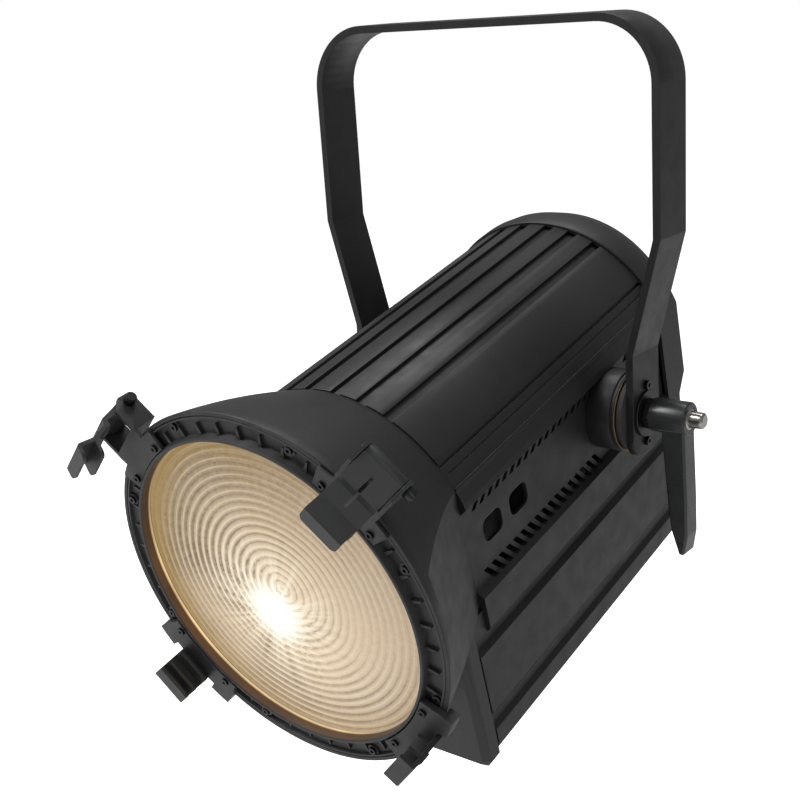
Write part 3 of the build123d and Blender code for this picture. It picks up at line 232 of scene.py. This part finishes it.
def bezel_paint_and_glow(name, value, tint, rough):
    """Ring paint whose inner wall has the lens's warm light painted on as a glow, brightest on one side and in a
    band next to the lens.
    """
    material = powder_coat(name, value, tint, rough, 1200.0)
    s = Shader.resume(material)
    radius, along, radial = s.beam_radius()
    inside = s.math("MULTIPLY", s.remap(radius, 0.1163, 0.1172, 1.0, 0.0),
                    s.remap(along, 0.2815, 0.2828, 1.0, 0.0))
    # Painted glow: strongest on one side of the wall, streaky, and brightest in a painted highlight band next to
    # the lens.
    across = s.add("ShaderNodeVectorMath", {0: radial, 1: GLOW_SIDE},
                   operation="DOT_PRODUCT").outputs["Value"]
    low = s.remap(across, -0.05, 0.11, 0.15, 1.0, True)
    streak = s.remap(s.noise(22.0, 3.0), 0.35, 0.65, 0.6, 1.0)
    lens_edge_glow = s.remap(along, 0.2752, 0.2768, 1.0, 0.0, True)
    s.set("Emission Color", s.mix(lens_edge_glow, (0.2, 0.085, 0.03, 1), (1.0, 0.7, 0.36, 1)))
    level = s.math("MULTIPLY", streak, s.remap(lens_edge_glow, 0.0, 1.0, 0.45, 0.95))
    s.set("Emission Strength", s.math("MULTIPLY", s.math("MULTIPLY", inside, low), level))
    return material


NEUTRAL = (0.985, 1.0, 0.99)
MATERIALS = {
    "yoke_paint": powder_coat("yoke_paint", 0.0095, NEUTRAL, 0.46),
    "body_paint": powder_coat("body_paint", 0.0095, NEUTRAL, 0.5),
    "ring_paint": bezel_paint_and_glow("ring_paint", 0.019, (0.98, 1.0, 1.02), 0.5),
    "cover_plastic": moulded("cover_plastic", 0.0095, NEUTRAL, 0.5),
    "latch_plastic": moulded("latch_plastic", 0.022, (0.98, 1.0, 1.02), 0.45),
    "lever_paint": powder_coat("lever_paint", 0.024, (0.97, 1.0, 1.03), 0.3, 1800.0),
    "dark_steel": metal("dark_steel", (0.05, 0.05, 0.052), 0.36),
    "screw_steel": metal("screw_steel", (0.035, 0.035, 0.037), 0.28),
    "chrome": metal("chrome", (0.42, 0.4, 0.37), 0.2, 0.05),
    "brass": metal("brass", (0.25, 0.16, 0.09), 0.36, 0.4),
    "friction_pad": rubber("friction_pad", 0.03),
    "rubber": rubber("rubber", 0.012),
    "inner_aluminium": metal("inner_aluminium", (0.7, 0.7, 0.71), 0.35),
    "inner_steel": metal("inner_steel", (0.55, 0.55, 0.56), 0.25),
    "reflector": metal("reflector", (0.9, 0.88, 0.84), 0.12, 0.05),
    "led_ceramic": moulded("led_ceramic", 0.7, (1.0, 0.8, 0.35), 0.6),
    "panel_face": moulded("panel_face", 0.02, NEUTRAL, 0.4),
    "display": moulded("display", 0.01, (0.8, 1.0, 1.2), 0.12),
    "knob_plastic": moulded("knob_plastic", 0.015, NEUTRAL, 0.5),
    "socket_plastic": moulded("socket_plastic", 0.012, NEUTRAL, 0.4),
    "motor_black": moulded("motor_black", 0.02, NEUTRAL, 0.5),
    "board_green": moulded("board_green", 0.08, (0.2, 1.0, 0.45), 0.4),
}


WELD_GAP = 0.00001
EDGE_WIDTH = 0.0004
EDGE_ANGLE = math.radians(28)


def dress_frame():
    """Gives every CAD node its slot's material, softened edges and clean shading."""
    for part in frame["record"]["subparts"]:
        node = frame["nodes"][part["node"]]
        material = MATERIALS.get(part["material_slot"])
        if material:
            node.data.materials.clear()
            node.data.materials.append(material)
        weld = node.modifiers.new("weld", "WELD")
        weld.merge_threshold = WELD_GAP
        bevel = node.modifiers.new("edge", "BEVEL")
        bevel.width = EDGE_WIDTH
        bevel.segments = 2
        bevel.limit_method = "ANGLE"
        bevel.angle_limit = EDGE_ANGLE
        bevel.harden_normals = True


# ----------------------------------------------------------------------------
# Mesh helpers
# ----------------------------------------------------------------------------
def link(mesh, name):
    obj = bpy.data.objects.new(name, mesh)
    bpy.context.scene.collection.objects.link(obj)
    return obj


def turned(name, profile, segments):
    """A body of revolution about the beam from (s, r) points in millimetres."""
    bm = bmesh.new()
    rings = []
    for s, r in profile:
        ring = []
        for k in range(segments):
            angle = 2 * math.pi * k / segments
            ring.append(bm.verts.new(head(r * math.cos(angle), r * math.sin(angle), s)))
        rings.append(ring)
    for a, b in zip(rings, rings[1:]):
        for k in range(segments):
            m = (k + 1) % segments
            bm.faces.new((a[k], a[m], b[m], b[k]))
    bmesh.ops.remove_doubles(bm, verts=bm.verts, dist=1e-7)
    bmesh.ops.recalc_face_normals(bm, faces=bm.faces)
    mesh = bpy.data.meshes.new(name)
    bm.to_mesh(mesh)
    bm.free()
    mesh.shade_smooth()
    return link(mesh, name)


# ----------------------------------------------------------------------------
# Fresnel lens
# ----------------------------------------------------------------------------
LENS_BACK = 268.4
LENS_FACE = 273.2
LENS_RADIUS = 119.2
LENS_CLEAR = 115.0
LENS_STEPS = 19
LENS_SEGMENTS = 288
STEP_DEPTH = 1.9
STEP_POINTS = (0.2, 0.4, 0.6, 0.8, 1.0)
STEP_SHARE = 0.985           # share of the pitch that a ring's slope takes
# Direction across the beam of the lens's painted lit side.
PAINTED_LIT_SIDE = (0.62, UP.y * -0.78, UP.z * -0.78)
HOT_SPOT = (-14.0, -24.0)      # where the hot spot of the source is painted on the lens, (x, up)


def lens_glass():
    """Warm glass lit from behind, all painted as emission: banded rings, tan risers and valleys of painted shade,
    painted highlight lines, a paler painted lit side and a painted hot spot low in the middle.
    """
    s = Shader("lens_glass", roughness=0.12)
    s.bsdf.inputs["Specular IOR Level"].default_value = 0.25
    radius, along, radial = s.beam_radius()
    pitch = LENS_CLEAR * MM / LENS_STEPS
    wobble = s.math("MULTIPLY", s.math("SUBTRACT", s.noise(30.0, 1.0), 0.5), 0.0002)
    outward = s.math("ADD", radius, wobble)
    phase = s.math("FRACT", s.math("DIVIDE", outward, pitch))
    crown = s.math("SINE", s.math("MULTIPLY", phase, math.pi))
    riser = s.math("POWER", s.remap(phase, 0.72, 1.0, 0.0, 1.0, True), 1.6)

    # Painted light: rays and a glow spread from the painted hot spot, and the lower right half is painted paler,
    # as the lit side.
    place = s.add("ShaderNodeVectorMath", {0: s.object, 1: head(HOT_SPOT[0], HOT_SPOT[1], LENS_FACE)},
                  operation="SUBTRACT").outputs["Vector"]
    away = s.add("ShaderNodeVectorMath", {0: place}, operation="LENGTH").outputs["Value"]
    direction = s.add("ShaderNodeVectorMath", {0: place}, operation="NORMALIZE").outputs["Vector"]
    rays = s.remap(s.noise(9.0, 4.0, 0.65, direction), 0.42, 0.62, 0.0, 1.0)
    hot = s.remap(away, 0.004, 0.034, 1.0, 0.0, True)
    flare = s.math("MULTIPLY", s.remap(away, 0.015, 0.075, 0.75, 0.0, True), rays)
    glow = s.remap(away, 0.02, 0.135, 1.0, 0.0, True)
    across = s.add("ShaderNodeVectorMath", {0: radial, 1: PAINTED_LIT_SIDE},
                   operation="DOT_PRODUCT").outputs["Value"]
    lit = s.remap(across, -0.1, 0.1, 0.0, 1.0, True)

    # Painted lit and unlit copies of the band colour, warmed towards the painted glow; shade is their
    # painted-shade copy.
    lit_cream = s.mix(lit, (0.34, 0.225, 0.1, 1), (0.64, 0.49, 0.33, 1))
    lit_cream = s.mix(glow, lit_cream, (0.7, 0.55, 0.37, 1))
    shade = s.mix(lit, (0.12, 0.08, 0.045, 1), (0.19, 0.125, 0.085, 1))
    # Painted shade in the ring valleys and on the risers, patchy, and lighter near the hot spot.
    depth = s.remap(s.noise(11.0, 2.0), 0.35, 0.65, 0.35, 1.15)
    valley = s.math("MULTIPLY", s.math("POWER", s.math("SUBTRACT", 1.0, crown), 1.4), 0.85)
    dark = s.math("MULTIPLY", s.math("MAXIMUM", riser, valley), s.remap(hot, 0.0, 1.0, 1.0, 0.3))
    bands = s.mix(s.math("MULTIPLY", dark, depth), lit_cream, shade)
    # A painted highlight line along each ring's crest.
    crest_highlight = s.remap(s.math("ABSOLUTE", s.math("SUBTRACT", phase, 0.4)), 0.0, 0.13, 0.5, 0.0)
    bands = s.mix(s.math("MULTIPLY", crest_highlight, depth), bands, (0.9, 0.78, 0.6, 1))
    # Fine pale painted streaks, then the painted flare and hot spot on top.
    streaks = s.remap(s.noise(260.0, 3.0, 0.7), 0.35, 0.75, 0.0, 0.22)
    bands = s.mix(streaks, bands, (0.95, 0.86, 0.7, 1))
    bands = s.mix(flare, bands, (0.97, 0.88, 0.7, 1))
    colour = s.mix(hot, bands, (1.0, 0.965, 0.88, 1))
    # Painted gold tone towards the rim, strongest on the less lit side.
    edge = s.math("MULTIPLY", s.remap(radius, 0.092, 0.116, 0.0, 0.75, True),
                  s.remap(lit, 0.0, 1.0, 1.0, 0.3))
    colour = s.mix(edge, colour, (0.4, 0.26, 0.08, 1))
    s.set("Emission Color", colour)
    strength = s.math("ADD", s.remap(glow, 0.0, 1.0, 0.72, 0.98), s.math("MULTIPLY", hot, 0.25))
    front = s.remap(along, 0.2694, 0.2702, 0.0, 1.0)
    s.set("Emission Strength", s.math("MULTIPLY", strength, front))
    s.set("Base Color", s.mix(0.9, colour, (0.05, 0.04, 0.03, 1)))
    s.set("Roughness", s.remap(s.noise(180.0, 3.0), 0.3, 0.7, 0.08, 0.2))
    return s.material


def build_lens():
    pitch = LENS_CLEAR / LENS_STEPS
    profile = [(LENS_BACK, 0.0), (LENS_BACK, LENS_RADIUS), (LENS_FACE, LENS_RADIUS)]
    profile.append((LENS_FACE, LENS_CLEAR + 0.8))
    for n in range(LENS_STEPS):
        outer = LENS_CLEAR - n * pitch
        inner = outer - pitch
        profile.append((LENS_FACE - STEP_DEPTH, outer))
        for step in STEP_POINTS:
            rise = 1 - (1 - step) ** 2
            radius = outer - step * (outer - inner) * STEP_SHARE
            profile.append((LENS_FACE - STEP_DEPTH * (1 - rise), max(radius, 0.0)))
    profile[-1] = (LENS_FACE, 0.0)
    lens = turned("fresnel_glass", profile, LENS_SEGMENTS)
    lens.data.materials.append(lens_glass())
    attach(lens, "head")
    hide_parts("fresnel_lens")


# ----------------------------------------------------------------------------
# Studio: pale floor, soft boxes and the camera
# ----------------------------------------------------------------------------
CAMERA_FROM_PIVOT = Vector((0.5503, -0.8191, 0.2972))
CAMERA_AZIMUTH = math.radians(38.56)
CAMERA_ELEVATION = math.radians(16.89)
CAMERA_ROLL = math.radians(-3.92)
CAMERA_LENS = 58.22
AMBIENT = 0.3
FLOOR_GLOW = 0.7
FLOOR_DROP = 0.25
FLOOR_HALF = 6.0


def studio():
    scene = bpy.context.scene
    scene.view_settings.view_transform = "Standard"
    world = bpy.data.worlds.new("studio")
    scene.world = world
    world.use_nodes = True
    tree = world.node_tree
    sky = tree.nodes["Background"]
    sky.inputs["Color"].default_value = (1.0, 1.0, 1.0, 1.0)
    sky.inputs["Strength"].default_value = AMBIENT
    backdrop = tree.nodes.new("ShaderNodeBackground")
    backdrop.inputs["Color"].default_value = (1.0, 1.0, 1.0, 1.0)
    backdrop.inputs["Strength"].default_value = 1.0
    seen = tree.nodes.new("ShaderNodeLightPath")
    pick = tree.nodes.new("ShaderNodeMixShader")
    tree.links.new(seen.outputs["Is Camera Ray"], pick.inputs["Fac"])
    tree.links.new(sky.outputs["Background"], pick.inputs[1])
    tree.links.new(backdrop.outputs["Background"], pick.inputs[2])
    tree.links.new(pick.outputs["Shader"], tree.nodes["World Output"].inputs["Surface"])

    floor_z = CAD_BOX[0][2] - FLOOR_DROP
    bm = bmesh.new()
    bmesh.ops.create_grid(bm, x_segments=8, y_segments=8, size=FLOOR_HALF)
    for vert in bm.verts:
        vert.co.z = floor_z
    mesh = bpy.data.meshes.new("floor")
    bm.to_mesh(mesh)
    bm.free()
    floor = link(mesh, "floor")
    s = Shader("pale_floor", roughness=0.9)
    grain = s.noise(3.0, 2.0)
    s.set("Base Color", s.mix(grain, (0.93, 0.93, 0.93, 1), (0.96, 0.96, 0.96, 1)))
    direct = s.add("ShaderNodeLightPath").outputs["Is Camera Ray"]
    s.bsdf.inputs["Emission Color"].default_value = (1.0, 1.0, 1.0, 1.0)
    s.set("Emission Strength", s.math("MULTIPLY", direct, FLOOR_GLOW))
    floor.data.materials.append(s.material)

    for name, place, size, power in (
        ("key", (-1.5, -1.5, 1.9), 1.3, 62.0),
        ("fill", (1.9, -1.4, 0.9), 1.0, 6.0),
        ("top", (-0.3, 0.5, 2.2), 1.2, 34.0),
    ):
        light = bpy.data.lights.new(name, "AREA")
        light.shape = "SQUARE"
        light.size = size
        light.energy = power
        lamp = bpy.data.objects.new(name, light)
        lamp.location = place
        lamp.rotation_euler = (PIVOT - Vector(place)).to_track_quat("-Z", "Y").to_euler()
        scene.collection.objects.link(lamp)

    data = bpy.data.cameras.new("camera")
    data.lens = CAMERA_LENS
    data.sensor_width = 36.0
    camera = bpy.data.objects.new("camera", data)
    scene.collection.objects.link(camera)
    turn = Matrix.Rotation(CAMERA_AZIMUTH, 4, "Z")
    lift = Matrix.Rotation(math.pi / 2 - CAMERA_ELEVATION, 4, "X")
    roll = Matrix.Rotation(CAMERA_ROLL, 4, "Z")
    camera.matrix_world = Matrix.Translation(PIVOT + CAMERA_FROM_PIVOT) @ turn @ lift @ roll
    scene.camera = camera


dress_frame()
build_lens()
studio()
